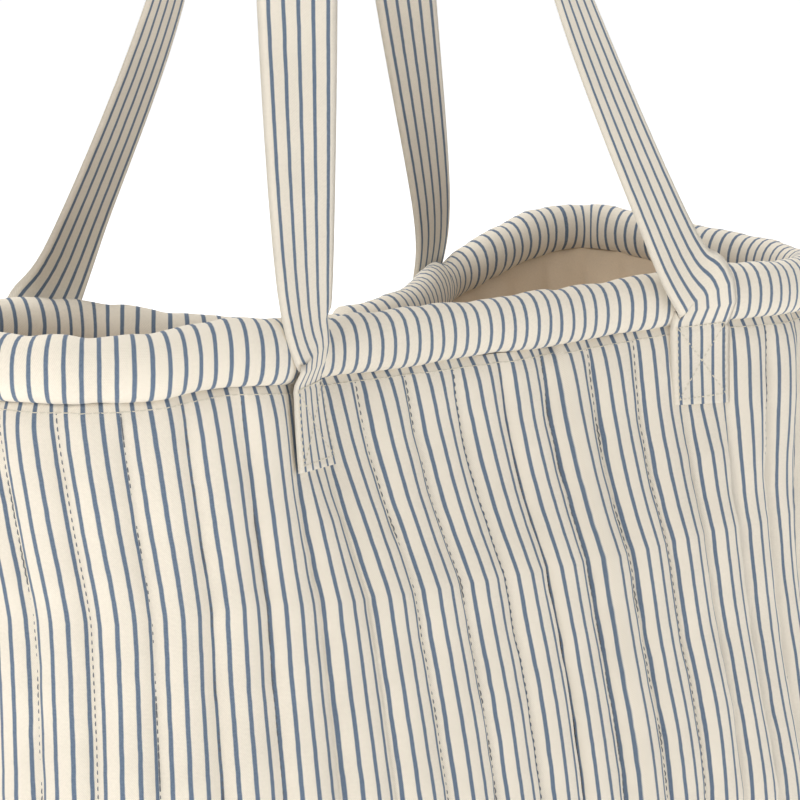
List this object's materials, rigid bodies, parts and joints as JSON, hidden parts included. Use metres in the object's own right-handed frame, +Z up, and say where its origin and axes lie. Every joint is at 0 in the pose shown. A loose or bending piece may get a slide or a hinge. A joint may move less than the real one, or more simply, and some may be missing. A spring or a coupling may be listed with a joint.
{
  "type": "laundry bag",
  "caption": "Large open-topped quilted cotton laundry bag with thin woven stripes, a rolled hem, a plain lining and two long flat handles.",
  "frame": {"origin": "middle of the base, on the surface that the bag stands on", "axes": "+Z up, +X along the mouth's long side, to the right seen from the front; the front is -Y"},
  "size_m": [0.458, 0.2717, 0.7861],
  "materials": {
    "striped_twill": "matte",
    "wadding": "matte",
    "lining_cotton": "matte",
    "cotton_tape": "matte",
    "thread": "matte"
  },
  "bodies": {
    "bag": {"front_shell": "striped_twill", "back_shell": "striped_twill", "base_shell": "striped_twill", "hem_cover": "striped_twill", "front_handle_left_foot": "striped_twill", "front_handle_right_foot": "striped_twill", "back_handle_left_foot": "striped_twill", "back_handle_right_foot": "striped_twill", "front_wadding": "wadding", "back_wadding": "wadding", "base_wadding": "wadding", "hem_padding": "wadding", "front_lining": "lining_cotton", "back_lining": "lining_cotton", "base_lining": "lining_cotton", "base_seam_binding": "cotton_tape", "left_seam_tape": "cotton_tape", "right_seam_tape": "cotton_tape", "hem_topstitching": "thread", "front_quilting_stitches": "thread", "back_quilting_stitches": "thread", "front_handle_foot_stitches": "thread", "back_handle_foot_stitches": "thread"},
    "front_handle": {"front_handle_outer_ply": "striped_twill", "front_handle_inner_ply": "striped_twill"},
    "back_handle": {"back_handle_outer_ply": "striped_twill", "back_handle_inner_ply": "striped_twill"}
  },
  "joints": [
    {"name": "front_handle_fold", "type": "hinge", "parent": "bag", "child": "front_handle", "pos_m": [0, -0.092, 0.3846], "axis": [1, 0, 0], "range_deg": [0, 150]},
    {"name": "back_handle_fold", "type": "hinge", "parent": "bag", "child": "back_handle", "pos_m": [0, 0.092, 0.3846], "axis": [-1, 0, 0], "range_deg": [0, 150]}
  ]
}
